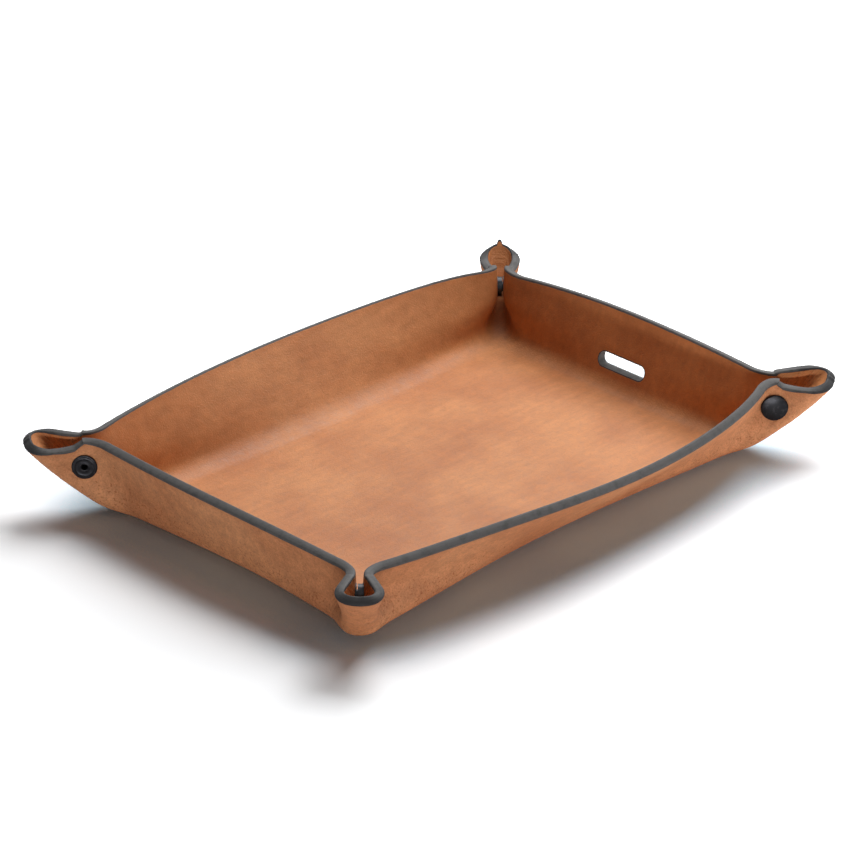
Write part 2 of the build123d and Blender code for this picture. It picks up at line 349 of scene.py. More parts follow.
    def floor_line(self, station: np.ndarray) -> np.ndarray:
        """Where the leather leaves the flat floor, in plan, at each station."""
        sizes, ear = self.sizes, self.ear
        middle = sizes.foot_reach - sizes.lean * FOOT_DROP - sizes.floor_leg
        corner = self.beside(complex(-ear.floor_back, ear.floor_side))
        share = np.clip(station, 0, 1)
        bow = share**2 * (3 - share**2) / 2
        wall = share * corner.real + 1j * (middle + (corner.imag - middle) * bow)
        left = 1 - np.clip((station - 1) / (self.TIP - 1), 0, 1)
        ear_line = -ear.floor_tip + (ear.floor_tip - ear.floor_back) * left**2 + 1j * ear.floor_side * left
        return np.where(station < 1, wall, self.beside(ear_line))

    def rim_height(self, station: np.ndarray) -> np.ndarray:
        """Height of the cut edge at each station."""
        high, middle = self.shape, self.sizes.rim_height
        strip = high.long_strip if self.wall.is_long else high.short_strip
        share = np.clip(station, 0, 1)
        wall = middle + (high.neck - middle) * share**2
        to_strip = (strip - high.neck) * smooth_step((station - self.STRIP_START) / self.STRIP_RUN)
        to_tip = (high.tip - strip) * smooth_step((station - self.TIP_START) / self.TIP_RUN)
        return wall + to_strip + to_tip - self.sway * self.SWAY_DROP * np.sin(math.pi * share)

    def point(self, station: np.ndarray, row: np.ndarray) -> np.ndarray:
        """Points of the middle surface.

        Args:
            station: Stations along the wall.
            row: Rows up the wall, of the same shape.

        Returns:
            An array with along, out and height in its last axis.
        """
        rim = self.rim_height(station)
        climb = np.abs(self.plan(station, rim) - self.plan(station, rim - self.EDGE_DEPTH)) / self.EDGE_DEPTH
        top = rim - self.EDGE_DEPTH / np.hypot(1, climb)
        foot = np.full_like(rim, FOOT_LEVEL)
        level = foot + (top - foot) * np.clip(row - 1, self.LOWEST_ROW, None)

        stand, step = self.plan(station, foot), self.LEVEL_STEP
        slope = (self.plan(station, foot + step) - self.plan(station, foot - step)) / (2 * step)
        turn = stand - slope * FOOT_DROP
        start = self.floor_line(station)
        first, second = start + (turn - start) * CURVE_HANDLE, stand + (turn - stand) * CURVE_HANDLE
        is_low = row < 1
        place = np.where(is_low, cubic(start, first, second, stand, row), self.plan(station, level))
        turned = FOOT_LEVEL - FOOT_DROP * CURVE_HANDLE
        low_level = cubic(FLOOR_MIDDLE, FLOOR_MIDDLE, turned, FOOT_LEVEL, row)
        return np.stack((place.real, place.imag, np.where(is_low, low_level, level)), axis=-1)

    def frame_at(self, station: np.ndarray, row: np.ndarray) -> tuple[np.ndarray, np.ndarray, np.ndarray]:
        """Points of the middle surface with their outward normals and upward ways.

        Args:
            station: Stations along the wall.
            row: Rows up the wall, of the same shape.

        Returns:
            The points, the unit normals and the unit ways up the leather.
        """
        step = self.STEP
        before, after = np.clip(station - step, 0, None), np.clip(station + step, None, self.TIP)
        low, high = np.clip(row - step, 0, None), np.clip(row + step, None, 2)
        up = self.point(station, high) - self.point(station, low)
        normal = np.cross(up, self.point(after, row) - self.point(before, row))
        normal[station < step, 0] = 0
        across = np.array((-DIAGONAL.imag, DIAGONAL.real, 0))
        at_tip = station > self.TIP - step
        normal[at_tip] -= np.outer(normal[at_tip] @ across, across)
        normal[row < step] = (0, 0, -1)
        normal /= np.linalg.norm(normal, axis=-1, keepdims=True)
        up -= normal * np.sum(up * normal, axis=-1, keepdims=True)
        up /= np.linalg.norm(up, axis=-1, keepdims=True)
        return self.point(station, row), normal, up

    def to_tray(self, vectors: np.ndarray) -> np.ndarray:
        """Turns along, out and height to the tray's X, Y and Z."""
        side_x, side_y = self.corner.value
        along, out, height = np.moveaxis(vectors, -1, 0)
        if self.wall.is_long:
            return np.stack((along * side_x, out * side_y, height), axis=-1)
        return np.stack((out * side_x, along * side_y, height), axis=-1)


@dataclass(frozen=True)
class SheetGrid:
    """How finely the leather is divided, the cells of the seven parts of half a wall in order."""

    cells: tuple = (52, 18, 14, 5, 8, 16, 4)
    thin_cells: tuple = (0.9985, 1.03, 6.94, 7.0)
    low_rows: int = 16
    high_rows: int = 30
    row_power: float = 1.25
    part_row: float = 0.55
    part_gap: float = 0.012
    rim_points: int = 13
    rim_power: float = 0.55

    def stations(self) -> np.ndarray:
        """Stations of half a wall, with a thin cell on each side of every parting."""
        runs = [index + np.arange(count) / count for index, count in enumerate(self.cells)]
        return np.unique(np.concatenate((*runs, self.thin_cells)))

    def rows(self) -> np.ndarray:
        """Rows from the floor to the top of the face, closer together towards the rim."""
        low = np.arange(self.low_rows) / self.low_rows
        high = 2 - (1 - np.arange(self.high_rows + 1) / self.high_rows) ** self.row_power
        part = (self.part_row - self.part_gap, self.part_row, self.part_row + self.part_gap)
        return np.unique(np.concatenate((low, high, part)))


class Attribute(Enum):
    """Values that the leather's finishes read from the mesh."""

    EDGE_DISTANCE = "edge_distance"
    EAR = "ear"
    FAN = "fan"
    FAN_REACH = "fan_reach"
    HEIGHT = "height"


def add_object(name: str, data: bpy.types.ID) -> bpy.types.Object:
    """Puts new data into the scene, at the origin."""
    thing = bpy.data.objects.new(name, data)
    bpy.context.scene.collection.objects.link(thing)
    return thing


def finished_object(name: str, mesh: bpy.types.Mesh, sharp_angle: float) -> bpy.types.Object:
    """Puts a mesh into the scene, smooth but for edges that turn by more than an angle."""
    mesh.validate()
    mesh.polygons.foreach_set("use_smooth", [True] * len(mesh.polygons))
    mesh.set_sharp_from_angle(angle=sharp_angle)
    mesh.update()
    return add_object(name, mesh)


def prism(name: str, low: np.ndarray, high: np.ndarray) -> bpy.types.Mesh:
    """A closed mesh between two rings of points, which run to the left seen from the second."""
    count = len(low)
    faces = [list(range(count))[::-1], list(range(count, 2 * count))]
    faces += [[i, (i + 1) % count, (i + 1) % count + count, i + count] for i in range(count)]
    mesh = bpy.data.meshes.new(name)
    mesh.from_pydata((np.concatenate((low, high)) * MILLIMETRE).tolist(), [], faces)
    return mesh


@dataclass
class Shell:
    """A grid of leather with an outer and an inner face, ready to be cut into pieces."""

    outer: np.ndarray
    inner: np.ndarray
    rim: np.ndarray
    values: np.ndarray
    rim_values: np.ndarray
    turned: bool

    def piece(self, name: str, cells: np.ndarray, materials: list) -> bpy.types.Object:
        """A closed mesh of some of the grid's cells.

        Args:
            name: Name of the piece.
            cells: Which cells it holds, one for each station gap and row gap.
            materials: The finish of the inner face and that of the outer face.

        Returns:
            The new object.
        """
        columns, rows = self.outer.shape[:2]
        rim_count = self.rim.shape[1]
        out = np.arange(columns * rows).reshape(columns, rows)
        inn = out + out.size
        rim = np.arange(columns * rim_count).reshape(columns, rim_count) + 2 * out.size
        held = np.pad(cells, 1)
        faces, finishes = [], []

        def add(corners: tuple, finish: int) -> None:
            """Adds a face, turned so that it looks outwards."""
            faces.append(corners[::-1] if self.turned else corners)
            finishes.append(finish)

        for column, row in zip(*np.nonzero(cells)):
            a, b, c, d = (column, row), (column + 1, row), (column + 1, row + 1), (column, row + 1)
            add((out[a], out[b], out[c], out[d]), 1)
            add((inn[a], inn[d], inn[c], inn[b]), 0)
            is_top = row == rows - 2
            before, after = held[column, row + 1], held[column + 2, row + 1]
            under, above = held[column + 1, row], is_top or held[column + 1, row + 2]
            for first, second, is_held in ((d, a, before), (a, b, under), (b, c, after), (c, d, above)):
                if not is_held:
                    add((out[first], inn[first], inn[second], out[second]), 0)
            if is_top:
                left, right = (np.concatenate(([out[at]], rim[at[0]], [inn[at]])) for at in (d, c))
                for step in range(rim_count + 1):
                    finish = 1 if step < rim_count / 2 else 0
                    add((left[step], right[step], right[step + 1], left[step + 1]), finish)
                for edge, is_held in ((left, before), (right[::-1], after)):
                    if not is_held:
                        add(tuple(edge), 0)

        points = np.concatenate([part.reshape(-1, 3) for part in (self.outer, self.inner, self.rim)])
        used = np.unique(np.concatenate([np.array(face) for face in faces]))
        place = np.full(len(points), -1)
        place[used] = np.arange(len(used))
        mesh = bpy.data.meshes.new(name)
        kept = [place[list(face)].tolist() for face in faces]
        mesh.from_pydata((points[used] * MILLIMETRE).tolist(), [], kept)
        mesh.polygons.foreach_set("material_index", finishes)
        for material in materials:
            mesh.materials.append(material)
        given = (self.values, self.values, self.rim_values)
        set_values(mesh, np.concatenate([part.reshape(-1, len(Attribute)) for part in given])[used])
        return finished_object(name, mesh, LEATHER_SHARP)


def set_values(mesh: bpy.types.Mesh, values: np.ndarray) -> None:
    """Gives a mesh of leather its attributes, one column for each."""
    for attribute, column in zip(Attribute, values.astype(np.float32).T):
        layer = mesh.attributes.new(attribute.value, "FLOAT", "POINT")
        layer.data.foreach_set("value", np.ascontiguousarray(column))


@dataclass(frozen=True)
class SlotSizes:
    """The cable slot in the right wall and how its edge is painted."""

    length: float = 26.0
    height: float = 6.0
    level: float = 14.0
    arc_points: int = 14
    cutter_ends: tuple = (100.0, 130.0)
    border_reach: float = 8.0
    paint_reach: float = 0.25

    @property
    def radius(self) -> float:
        """Radius of its round ends."""
        return self.height / 2

    @property
    def straight(self) -> float:
        """Half the length of its straight sides."""
        return self.length / 2 - self.radius

    def outline(self) -> np.ndarray:
        """The slot's outline along the wall and up."""
        angle = math.pi * (np.arange(self.arc_points + 1) / self.arc_points - 0.5)
        end = np.stack((self.straight + self.radius * np.cos(angle), self.radius * np.sin(angle)), axis=-1)
        return np.concatenate((end, -end)) + (0, self.level)

    def distance(self, along: np.ndarray, level: np.ndarray) -> np.ndarray:
        """How far points of the wall lie outside the slot, 0 inside it."""
        over = np.clip(np.abs(along) - self.straight, 0, None)
        return np.clip(np.hypot(over, level - self.level) - self.radius, 0, None)


@dataclass
class LeatherSheet:
    """The one sheet of leather: floor, four walls and eight ear halves."""

    grid: SheetGrid
    ear: EarSizes
    shapes: dict
    inside: bpy.types.Material
    outside: bpy.types.Material
    slot: SlotSizes
    dent_radius: float = 6.1
    dent_fade: float = 2.2
    dent_depth: float = 0.28
    dent_stations: tuple = (1.5, 5.0)
    ear_stations: tuple = (1.2, 2.8)
    ear_levels: tuple = (9.0, 17.0)
    fan_place: complex = 3 + 3j
    hole_radius: float = 1.9
    hole_segments: int = 32
    fold_start: float = 5.0
    fold_end: float = 6.0
    crease_before: float = 1.0
    crease_after: float = 3.0

    def sizes_of(self, wall: Wall) -> WallSizes:
        """Sizes of a wall, its fold lines read from the frame's joints."""
        places = {joint["name"]: joint["pos_m"] for joint in frame["joints"]}
        reach = {side.is_long: max(map(abs, places[side.fold][:2])) / MILLIMETRE for side in Wall}
        form = LONG_WALL if wall.is_long else SHORT_WALL
        return replace(form, half_run=reach[not wall.is_long], hinge_reach=reach[wall.is_long])

    def halves(self, wall: Wall) -> list[HalfWall]:
        """The two halves of a wall, the one towards -X or -Y first."""
        corners = sorted((c for c in Corner if c.touches(wall)), key=lambda corner: sum(corner.value))
        sizes = self.sizes_of(wall)
        return [HalfWall(sizes, self.ear, corner, wall, self.shapes[corner]) for corner in corners]

    def half_grid(self, half: HalfWall) -> tuple:
        """The points and values of half a wall.

        Args:
            half: The half wall.

        Returns:
            The outer, inner and rim points, then the values of the faces and those of the rim.
        """
        stations, rows = self.grid.stations(), self.grid.rows()
        station, row = np.meshgrid(stations, rows, indexing="ij")
        point, normal, up = half.frame_at(station, row)
        length = np.linalg.norm(np.diff(point, axis=1), axis=-1)
        below = np.pad(np.cumsum(length[:, ::-1], axis=1)[:, ::-1], ((0, 0), (0, 1)))
        flat = (point[..., 0] + 1j * point[..., 1] - half.sizes.crossing) / DIAGONAL
        height = point[..., 2]
        first, last = self.dent_stations
        from_stud = np.hypot(flat.real - STUD_REACH, height - STUD_LEVEL)
        from_stud = np.where((station > first) & (station < last), from_stud, np.inf)
        dent = self.dent_depth * (1 - smooth_step((from_stud - self.dent_radius) / self.dent_fade))
        angle = np.linspace(0, math.pi, self.grid.rim_points)[1:-1]
        across = np.sign(np.cos(angle)) * np.abs(np.cos(angle)) ** self.grid.rim_power
        over = np.sin(angle) ** self.grid.rim_power
        top, top_normal, top_up = (part[:, -1, None] for part in (point, normal, up))
        rim = top + top_normal * (HALF_THICKNESS * across)[:, None] + top_up * (half.EDGE_DEPTH * over)[:, None]
        fan = flat.real + 1j * height - self.fan_place
        ear_shares = [
            smooth_step((value - low) / (high - low))
            for value, (low, high) in ((station, self.ear_stations), (height, self.ear_levels))
        ]
        values = {
            Attribute.EDGE_DISTANCE: below,
            Attribute.EAR: ear_shares[0] * ear_shares[1],
            Attribute.FAN: np.angle(fan),
            Attribute.FAN_REACH: np.abs(fan),
            Attribute.HEIGHT: height,
        }
        rim_values = {name: np.repeat(value[:, -1:], len(angle), axis=1) for name, value in values.items()}
        rim_values[Attribute.EDGE_DISTANCE] = -np.repeat(over[None, :], len(stations), axis=0)
        return (
            half.to_tray(point + normal * (HALF_THICKNESS - dent)[..., None]),
            half.to_tray(point - normal * HALF_THICKNESS),
            half.to_tray(rim),
            np.stack([values[attribute] for attribute in Attribute], axis=-1),
            np.stack([rim_values[attribute] for attribute in Attribute], axis=-1),
        )

    def shell(self, wall: Wall) -> Shell:
        """The whole wall with its ear halves as one grid, the middle station once."""
        first, second = (self.half_grid(half) for half in self.halves(wall))
        joined = (np.concatenate((one[::-1], other[1:])) for one, other in zip(first, second))
        return Shell(*joined, turned=wall in (Wall.BACK, Wall.LEFT))

    def build_floor(self) -> None:
        """Builds the flat floor inside the four folds."""
        outline = []
        stations = self.grid.stations()
        for wall, backwards in ((Wall.FRONT, False), (Wall.RIGHT, False), (Wall.BACK, True), (Wall.LEFT, True)):
            run = []
            for half, reverse in zip(self.halves(wall), (True, False)):
                line = half.floor_line(stations)
                points = half.to_tray(np.stack((line.real, line.imag, np.zeros(len(line))), axis=-1))
                run.extend(points[::-1] if reverse else points[1:])
            outline.extend((run[::-1] if backwards else run)[:-1])
        ring = np.array(outline)
        mesh = prism("leather_floor", ring, ring + (0, 0, THICKNESS))
        mesh.polygons.foreach_set("material_index", [1] + [0] * (len(ring) + 1))
        mesh.materials.append(self.inside)
        mesh.materials.append(self.outside)
        plain = [FAR_FROM_EDGE if attribute is Attribute.EDGE_DISTANCE else 0.0 for attribute in Attribute]
        set_values(mesh, np.tile(plain, (2 * len(ring), 1)))
        working = bmesh.new()
        working.from_mesh(mesh)
        bmesh.ops.triangulate(working, faces=[face for face in working.faces if len(face.verts) > 4])
        working.to_mesh(mesh)
        working.free()
        floor = finished_object("leather_floor", mesh, LEATHER_SHARP)
        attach(floor, "floor")
        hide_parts("floor_panel")

    def cut(self, piece: bpy.types.Object, shape: bpy.types.Mesh) -> None:
        """Cuts a closed mesh out of a piece of leather."""
        cutter = add_object(shape.name, shape)
        modifier = piece.modifiers.new("cut", "BOOLEAN")
        modifier.operation = "DIFFERENCE"
        modifier.solver = "EXACT"
        modifier.object = cutter
        graph = bpy.context.evaluated_depsgraph_get()
        mesh = bpy.data.meshes.new_from_object(piece.evaluated_get(graph))
        piece.modifiers.remove(modifier)
        bpy.data.objects.remove(cutter)
        mesh.name = piece.name
        piece.data = mesh
        mesh.set_sharp_from_angle(angle=LEATHER_SHARP)

    def cut_slot(self, piece: bpy.types.Object) -> None:
        """Cuts the cable slot into the right wall and marks its painted edge."""
        slot = self.slot
        rings = (np.insert(slot.outline(), 0, end, axis=1) for end in slot.cutter_ends)
        self.cut(piece, prism("slot_cutter", *rings))
        mesh = piece.data
        place = np.zeros(len(mesh.vertices) * 3)
        mesh.vertices.foreach_get("co", place)
        _, along, level = place.reshape(-1, 3).T / MILLIMETRE
        layer = mesh.attributes[Attribute.EDGE_DISTANCE.value]
        values = np.zeros(len(mesh.vertices), np.float32)
        layer.data.foreach_get("value", values)
        gap = slot.distance(along, level)
        nearest = np.minimum(np.where(values == 0, FAR_FROM_EDGE, values), gap - slot.paint_reach)
        values = np.where(gap < slot.border_reach, nearest, values)
        layer.data.foreach_set("value", values.astype(np.float32))

    def cut_rivet_hole(self, piece: bpy.types.Object, half: HalfWall) -> None:
        """Cuts the hole that the press stud's rivet goes through."""
        middle = half.beside(complex(STUD_REACH, self.ear.seat_side[0]))
        centre = Vector(half.to_tray(np.array((middle.real, middle.imag, STUD_LEVEL)))) * MILLIMETRE
        across = Vector(half.to_tray(np.array((-DIAGONAL.imag, DIAGONAL.real, 0.0))))
        working = bmesh.new()
        bmesh.ops.create_cone(
            working,
            cap_ends=True,
            segments=self.hole_segments,
            radius1=self.hole_radius * MILLIMETRE,
            radius2=self.hole_radius * MILLIMETRE,
            depth=2 * THICKNESS * MILLIMETRE,
            matrix=Matrix.Translation(centre) @ across.to_track_quat("Z", "Y").to_matrix().to_4x4(),
        )
        mesh = bpy.data.meshes.new("hole_cutter")
        working.to_mesh(mesh)
        working.free()
        self.cut(piece, mesh)

    def build_wall(self, wall: Wall) -> None:
        """Builds a wall and its two ear halves.

        Args:
            wall: The wall.
        """
        shell = self.shell(wall)
        stations, rows = self.grid.stations(), self.grid.rows()
        signed = np.concatenate((-stations[::-1], stations[1:]))
        station = (signed[1:] + signed[:-1]) / 2
        low = (rows[1:] + rows[:-1])[None, :] / 2 < self.grid.part_row
        materials = [self.inside, self.outside]
        name = wall.name.lower()
        leather = shell.piece(f"leather_{name}_wall", (np.abs(station)[:, None] < 1) | low, materials)
        if wall is Wall.RIGHT:
            self.cut_slot(leather)
        out = Vector((*wall.value, 0))
        hinge = out * self.sizes_of(wall).hinge_reach
        start = (hinge - out * self.fold_start + Vector((0, 0, FLOOR_MIDDLE))) * MILLIMETRE
        end = (hinge + out * self.fold_end + Vector((0, 0, FOOT_LEVEL))) * MILLIMETRE
        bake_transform(leather)
        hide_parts(f"{name}_wall")
        for half, sign in zip(self.halves(wall), (-1, 1)):
            end_name = half.corner.end_of(wall)
            cells = (station * sign > 1)[:, None] & ~low
            ear = shell.piece(f"leather_{name}_wall_{end_name}_ear", cells, materials)
            self.cut_rivet_hole(ear, half)
            start, end = self.crease(half)
            half.corner.ear_body(wall)
            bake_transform(ear)
            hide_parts(f"{name}_wall_{end_name}_ear")

    def crease(self, half: HalfWall) -> tuple[Vector, Vector]:
        """Where an ear half starts and stops to turn about its neck crease, square across it."""
        body = half.corner.ear_body(half.wall)
        joint = next(joint for joint in frame["joints"] if joint["child"] == body)
        outward = Vector((*half.corner.value, 0)).normalized()
        way = Vector(joint["axis"]).cross(Vector((0, 0, 1)).cross(outward)).normalized()
        way = way if way.dot(outward) > 0 else -way
        place = Vector(joint["pos_m"])
        return place - way * (self.crease_before * MILLIMETRE), place + way * (self.crease_after * MILLIMETRE)

    def build(self) -> None:
        """Builds every piece of the sheet."""
        self.build_floor()
        for wall in Wall:
            self.build_wall(wall)
            log.info("leather of the %s wall built", wall.name.lower())


@dataclass(frozen=True)
class Noise:
    """A cloudy noise: its scale for each metre, its detail and its roughness."""

    scale: float
    detail: float
    rough: float


class Nodes:
    """Adds nodes to a tree and joins them."""

    def __init__(self, tree: bpy.types.NodeTree) -> None:
        """Keeps the tree that is filled."""
        self.tree = tree

    def add(self, kind: str, values: dict | None = None, **settings: object) -> bpy.types.Node:
        """Adds a node.

        Args:
            kind: The node's type.
            values: Its inputs by name or number: a socket to join, or a plain value.
            settings: Its own settings.

        Returns:
            The new node.
        """
        node = self.tree.nodes.new(kind)
        for name, value in settings.items():
            setattr(node, name, value)
        for name, value in (values or {}).items():
            if isinstance(value, bpy.types.NodeSocket):
                self.tree.links.new(value, node.inputs[name])
            else:
                node.inputs[name].default_value = value
        return node

    def math(self, operation: str, first: object, second: object = 0.0) -> bpy.types.NodeSocket:
        """A number worked out from one or two others."""
        return self.add("ShaderNodeMath", {0: first, 1: second}, operation=operation).outputs[0]

    def product(self, first: object, *others: object) -> bpy.types.NodeSocket:
        """The product of some numbers."""
        for other in others:
            first = self.math("MULTIPLY", first, other)
        return first

    def noise(self, vector: bpy.types.NodeSocket, noise: Noise) -> bpy.types.NodeSocket:
        """Cloudy noise from 0 to 1."""
        values = {"Vector": vector, "Scale": noise.scale, "Detail": noise.detail, "Roughness": noise.rough}
        return self.add("ShaderNodeTexNoise", values).outputs["Fac"]

    def spread(self, value: object, given: tuple, wanted: tuple = (0.0, 1.0)) -> bpy.types.NodeSocket:
        """A number eased from one range to another."""
        values = {"From Min": given[0], "From Max": given[1], "To Min": wanted[0], "To Max": wanted[1]}
        node = self.add("ShaderNodeMapRange", {"Value": value, **values}, interpolation_type="SMOOTHSTEP")
        return node.outputs["Result"]

    def mix(self, share: object, first: object, second: object) -> bpy.types.NodeSocket:
        """A colour between two others."""
        return self.add("ShaderNodeMix", {0: share, 6: first, 7: second}, data_type="RGBA").outputs[2]

    def bump(self, height: object, depth: float, strength: float, **under: object) -> bpy.types.NodeSocket:
        """A normal bent by heights, over another normal if one is given."""
        values = {"Height": height, "Distance": depth, "Strength": strength, **under}
        return self.add("ShaderNodeBump", values).outputs[0]

    def place(self) -> bpy.types.NodeSocket:
        """The place on the object."""
        return self.add("ShaderNodeTexCoord").outputs["Object"]

    def attribute(self, attribute: Attribute) -> bpy.types.NodeSocket:
        """A value of the leather's mesh."""
        return self.add("ShaderNodeAttribute", attribute_name=attribute.value).outputs["Fac"]


def new_material(name: str) -> tuple[bpy.types.Material, Nodes]:
    """An empty material and its nodes."""
    material = bpy.data.materials.new(name)
    material.use_nodes = True
    material.node_tree.nodes.clear()
    return material, Nodes(material.node_tree)


def about(middle: float, reach: float) -> tuple[float, float]:
    """The range that reaches as far below a value as above it."""
    return middle - reach, middle + reach


@dataclass(frozen=True)
class EdgePaint:
    """The black paint on the cut edges, with its soft border on the leather."""

    colour: tuple = (0.094, 0.09, 0.088, 1)
    dark: tuple = (0.028, 0.027, 0.028, 1)
    roughness: float = 0.58
    border: float = 0.12
    wander: float = 0.35
    wander_noise: Noise = Noise(300, 3, 0.6)
    dark_reach: tuple = (33, 44)
    dark_share: float = 0.85
    dark_mottle: tuple = (0.35, 0.75)
    dark_mottle_share: float = 0.5


@dataclass(frozen=True)
class LeatherFinish:
    """Vegetable tanned leather, the grain side or the outer side."""

    CLOUD = Noise(22, 4, 0.55)
    MOTTLE = Noise(260, 6, 0.62)
    FINE = Noise(1300, 4, 0.6)
    STREAK = Noise(46, 5, 0.6)
    SPOT = Noise(900, 3, 0.6)
    RIB = Noise(2.6, 4, 0.55)
    STREAK_TURN, STREAK_SCALE = (0, 0, 0.5), (1, 7, 3)
    NARROW, WIDE = (0.3, 0.7), (0.25, 0.75)
    TAN_SHARE = 0.45
    SPOT_LEVELS, SPOT_LIFT, SPOT_BORDER = (4, 24), (0.09, 0), (0.62, 0.72)
    RIB_COUNT, RIB_RUN, RIB_SLICE, RIB_BORDER = 9.0, 0.05, 0.3, (0.3, 0.5)
    RIB_DEPTH, RIB_STRENGTH = 0.0034, 0.8
    BURNISH_REACH, BURNISH_SHARE = (0, 3.5), (0.35, 0)
    MOTTLE_WEIGHT, FINE_WEIGHT = 0.6, 0.4
    GRAIN_BORDER, GRAIN_SPREAD = (0.2, 0.8), (0.5, 1.3)
    SOFT_DEPTH, SOFT_STRENGTH = 0.00025, 0.6

    name: str
    deep: tuple
    tan: tuple
    pale: tuple
    # speck colour: the real dark specks, and also the painted shade in the ears' pleats
    speck: tuple
    speck_share: float
    roughness: float
    roughness_spread: float
    specular: float
    grain_scale: float
    grain_depth: float
    mottle_share: float
    streak_share: float
    # rib share: how deep the ears' pleats are bumped and how strongly painted shade darkens them
    rib_share: float
    nap_share: float
    paint: EdgePaint = EdgePaint()

    def material(self) -> bpy.types.Material:
        """Builds the material.

        Returns:
            The finished material.
        """
        material, nodes = new_material(self.name)
        place = nodes.place()
        noises = (self.CLOUD, self.MOTTLE, self.FINE, self.SPOT)
        cloud, mottle, fine, spot = (nodes.noise(place, noise) for noise in noises)
        drawn = {"Vector": place, "Rotation": self.STREAK_TURN, "Scale": self.STREAK_SCALE}
        streak = nodes.noise(nodes.add("ShaderNodeMapping", drawn).outputs[0], self.STREAK)
        tone = nodes.mix(nodes.spread(cloud, self.NARROW), self.deep, self.pale)
        tone = nodes.mix(self.TAN_SHARE, tone, self.tan)
        shade = nodes.product(
            nodes.spread(mottle, self.WIDE, about(1, self.mottle_share)),
            nodes.spread(streak, self.WIDE, about(1, self.streak_share)),
            nodes.spread(fine, self.NARROW, about(1, self.nap_share)),
        )
        tone = nodes.add("ShaderNodeVectorMath", {0: tone, "Scale": shade}, operation="SCALE").outputs[0]

        low = nodes.spread(nodes.attribute(Attribute.HEIGHT), self.SPOT_LEVELS, self.SPOT_LIFT)
        spots = nodes.product(nodes.spread(nodes.math("ADD", spot, low), self.SPOT_BORDER), self.speck_share)
        tone = nodes.mix(spots, tone, self.speck)

        fan, fan_reach = nodes.attribute(Attribute.FAN), nodes.attribute(Attribute.FAN_REACH)
        ribs_at = {"X": nodes.product(fan, self.RIB_COUNT), "Y": nodes.product(fan_reach, self.RIB_RUN)}
        ribs_at = nodes.add("ShaderNodeCombineXYZ", {**ribs_at, "Z": self.RIB_SLICE}).outputs[0]
        ribs = nodes.noise(ribs_at, self.RIB)
        ear = nodes.attribute(Attribute.EAR)
        # Painted shade: darker streaks along the pleats inside the ears, mixed toward the speck colour
        rib_painted_shade = nodes.product(nodes.spread(ribs, self.RIB_BORDER, (1, 0)), ear, self.rib_share)
        tone = nodes.mix(rib_painted_shade, tone, self.speck)

        paint = self.paint
        edge = nodes.attribute(Attribute.EDGE_DISTANCE)
        tone = nodes.mix(nodes.spread(edge, self.BURNISH_REACH, self.BURNISH_SHARE), tone, self.deep)
        wander = nodes.product(nodes.noise(place, paint.wander_noise), paint.wander)
        bare = nodes.spread(nodes.math("SUBTRACT", edge, wander), (0.0, paint.border))
        patch = nodes.product(nodes.spread(fan_reach, paint.dark_reach, (0, paint.dark_share)), ear)
        patch = nodes.math("ADD", patch, nodes.spread(mottle, paint.dark_mottle, (0, paint.dark_mottle_share)))
        painted = nodes.mix(nodes.spread(patch, (0, 1)), paint.colour, paint.dark)

        weighed = nodes.product(mottle, self.MOTTLE_WEIGHT), nodes.product(fine, self.FINE_WEIGHT)
        rough = nodes.math("ADD", *weighed)
        rough = nodes.spread(rough, self.NARROW, about(self.roughness, self.roughness_spread))
        rough = nodes.add("ShaderNodeMix", {0: bare, 2: paint.roughness, 3: rough}, data_type="FLOAT").outputs[0]

        cell = nodes.add("ShaderNodeTexVoronoi", {"Vector": place, "Scale": self.grain_scale}, feature="F1")
        grain = nodes.spread(fine, self.GRAIN_BORDER, self.GRAIN_SPREAD)
        grain = nodes.product(cell.outputs["Distance"], grain, bare)
        normal = nodes.bump(grain, self.grain_depth, 1.0)
        normal = nodes.bump(mottle, self.SOFT_DEPTH, self.SOFT_STRENGTH, Normal=normal)
        pleats = nodes.product(ribs, ear, nodes.product(bare, self.rib_share))
        normal = nodes.bump(pleats, self.RIB_DEPTH, self.RIB_STRENGTH, Normal=normal)
        values = {"Base Color": nodes.mix(bare, painted, tone), "Roughness": rough, "Normal": normal}
        shader = nodes.add("ShaderNodeBsdfPrincipled", {**values, "Specular IOR Level": self.specular})
        nodes.add("ShaderNodeOutputMaterial", {"Surface": shader.outputs[0]})
        return material


@dataclass(frozen=True)
class MetalFinish:
    """A metal with a fine worn surface."""

    CLOUD = Noise(700, 5, 0.6)
    FINE = Noise(4200, 3, 0.6)
    WORN, ROUGH = (0.5, 0.75), (0.3, 0.7)
    SMOOTHER, ROUGHER = 0.06, 0.08
    DEPTH, STRENGTH = 0.00001, 0.6

    name: str
    colour: tuple
    worn: tuple
    worn_share: float
    roughness: float
    metallic: float

    def material(self) -> bpy.types.Material:
        """Builds the material.

        Returns:
            The finished material.
        """
        material, nodes = new_material(self.name)
        place = nodes.place()
        cloud, fine = nodes.noise(place, self.CLOUD), nodes.noise(place, self.FINE)
        wear = nodes.spread(cloud, self.WORN, (0, self.worn_share))
        rough = (self.roughness - self.SMOOTHER, self.roughness + self.ROUGHER)
        values = {
            "Base Color": nodes.mix(wear, self.colour, self.worn),
            "Roughness": nodes.spread(cloud, self.ROUGH, rough),
            "Metallic": self.metallic,
            "Normal": nodes.bump(fine, self.DEPTH, self.STRENGTH),
        }
        shader = nodes.add("ShaderNodeBsdfPrincipled", values)
        nodes.add("ShaderNodeOutputMaterial", {"Surface": shader.outputs[0]})
        return material


